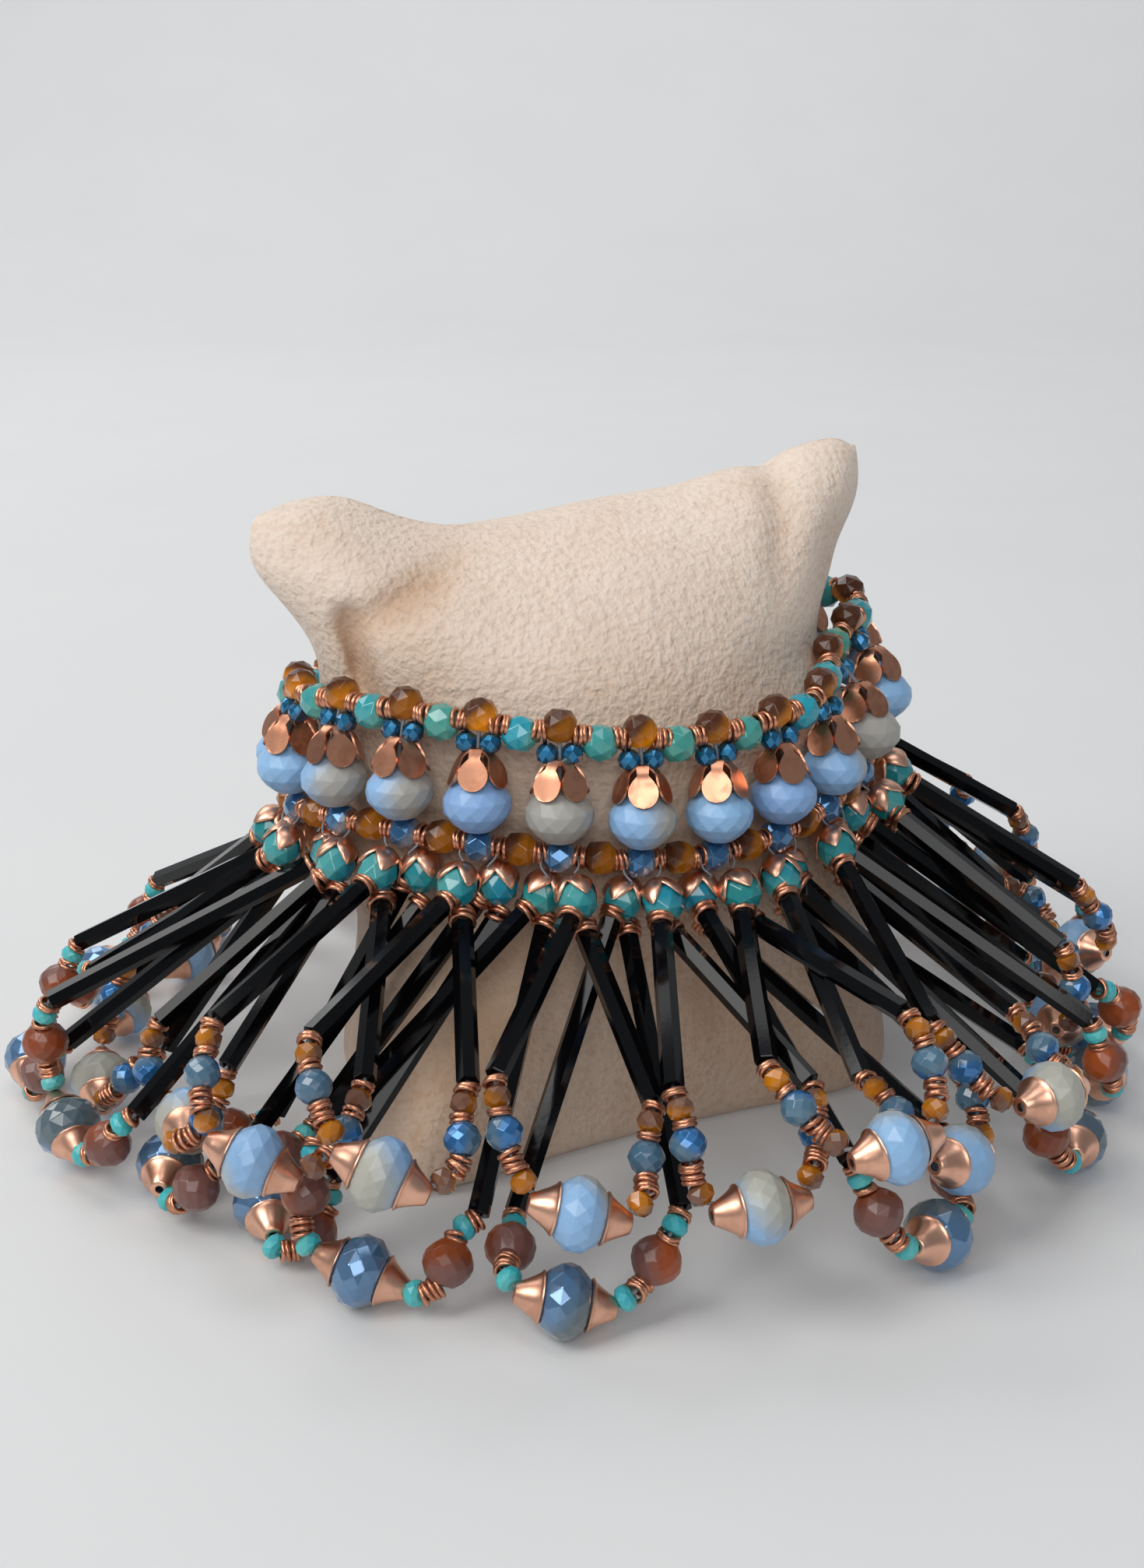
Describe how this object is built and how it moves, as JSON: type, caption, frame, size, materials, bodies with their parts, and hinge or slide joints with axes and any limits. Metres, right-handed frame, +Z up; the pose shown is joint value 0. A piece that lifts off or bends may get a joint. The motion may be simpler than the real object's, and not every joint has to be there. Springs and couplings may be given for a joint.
{
  "type": "beaded fringe bracelet on a display pillow",
  "caption": "Bracelet of faceted glass beads and copper rings with a deep fringe of bead loops, closed round a stuffed cloth display pillow.",
  "frame": {"origin": "middle of the footprint, on the surface that the pillow stands on", "axes": "+Z up, the pillow's broad face towards -Y"},
  "size_m": [0.1482, 0.1376, 0.0811],
  "materials": {
    "pillow_cloth": "fuzzy suede nap",
    "blue_glass": "faceted, matte opaque",
    "black_glass": "glossy six-sided tube beads",
    "denim_glass": "faceted with a metallic side",
    "amber_glass": "faceted, half coated in matte brown",
    "teal_glass": "faceted turquoise to sea green",
    "antique_copper": "satin antique copper"
  },
  "bodies": {
    "root": {"display_pillow": "pillow_cloth", "band_bead_01": "blue_glass", "band_bead_02": "blue_glass", "band_bead_03": "blue_glass", "band_bead_04": "blue_glass", "band_bead_05": "blue_glass", "band_bead_06": "blue_glass", "band_bead_07": "blue_glass", "band_bead_08": "blue_glass", "band_bead_09": "blue_glass", "band_bead_10": "blue_glass", "band_bead_11": "blue_glass", "band_bead_12": "blue_glass", "band_bead_13": "blue_glass", "band_bead_14": "blue_glass", "band_bead_15": "blue_glass", "band_bead_16": "blue_glass", "band_bead_17": "blue_glass", "band_bead_18": "blue_glass", "band_bead_19": "blue_glass", "band_bead_20": "blue_glass", "fringe_01": "black_glass", "fringe_02": "black_glass", "fringe_03": "black_glass", "fringe_04": "black_glass", "fringe_05": "black_glass", "fringe_06": "black_glass", "fringe_07": "black_glass", "fringe_08": "black_glass", "fringe_09": "black_glass", "fringe_10": "black_glass", "fringe_11": "black_glass", "fringe_12": "black_glass", "fringe_13": "black_glass", "fringe_14": "black_glass", "fringe_15": "black_glass", "fringe_16": "black_glass", "fringe_17": "black_glass", "fringe_18": "black_glass", "fringe_19": "black_glass", "fringe_20": "black_glass", "fringe_bead_04": "denim_glass", "fringe_bead_05": "denim_glass", "fringe_bead_06": "denim_glass", "fringe_bead_07": "denim_glass", "fringe_bead_08": "denim_glass", "fringe_bead_09": "denim_glass", "fringe_bead_10": "denim_glass", "fringe_bead_11": "denim_glass", "fringe_bead_12": "denim_glass", "fringe_bead_13": "denim_glass", "fringe_bead_14": "denim_glass", "fringe_bead_15": "denim_glass", "fringe_bead_16": "denim_glass", "fringe_bead_17": "denim_glass", "band_net_01": "antique_copper", "band_net_02": "antique_copper", "band_net_03": "antique_copper", "band_net_04": "antique_copper", "clasp": "antique_copper"}
  },
  "joints": []
}
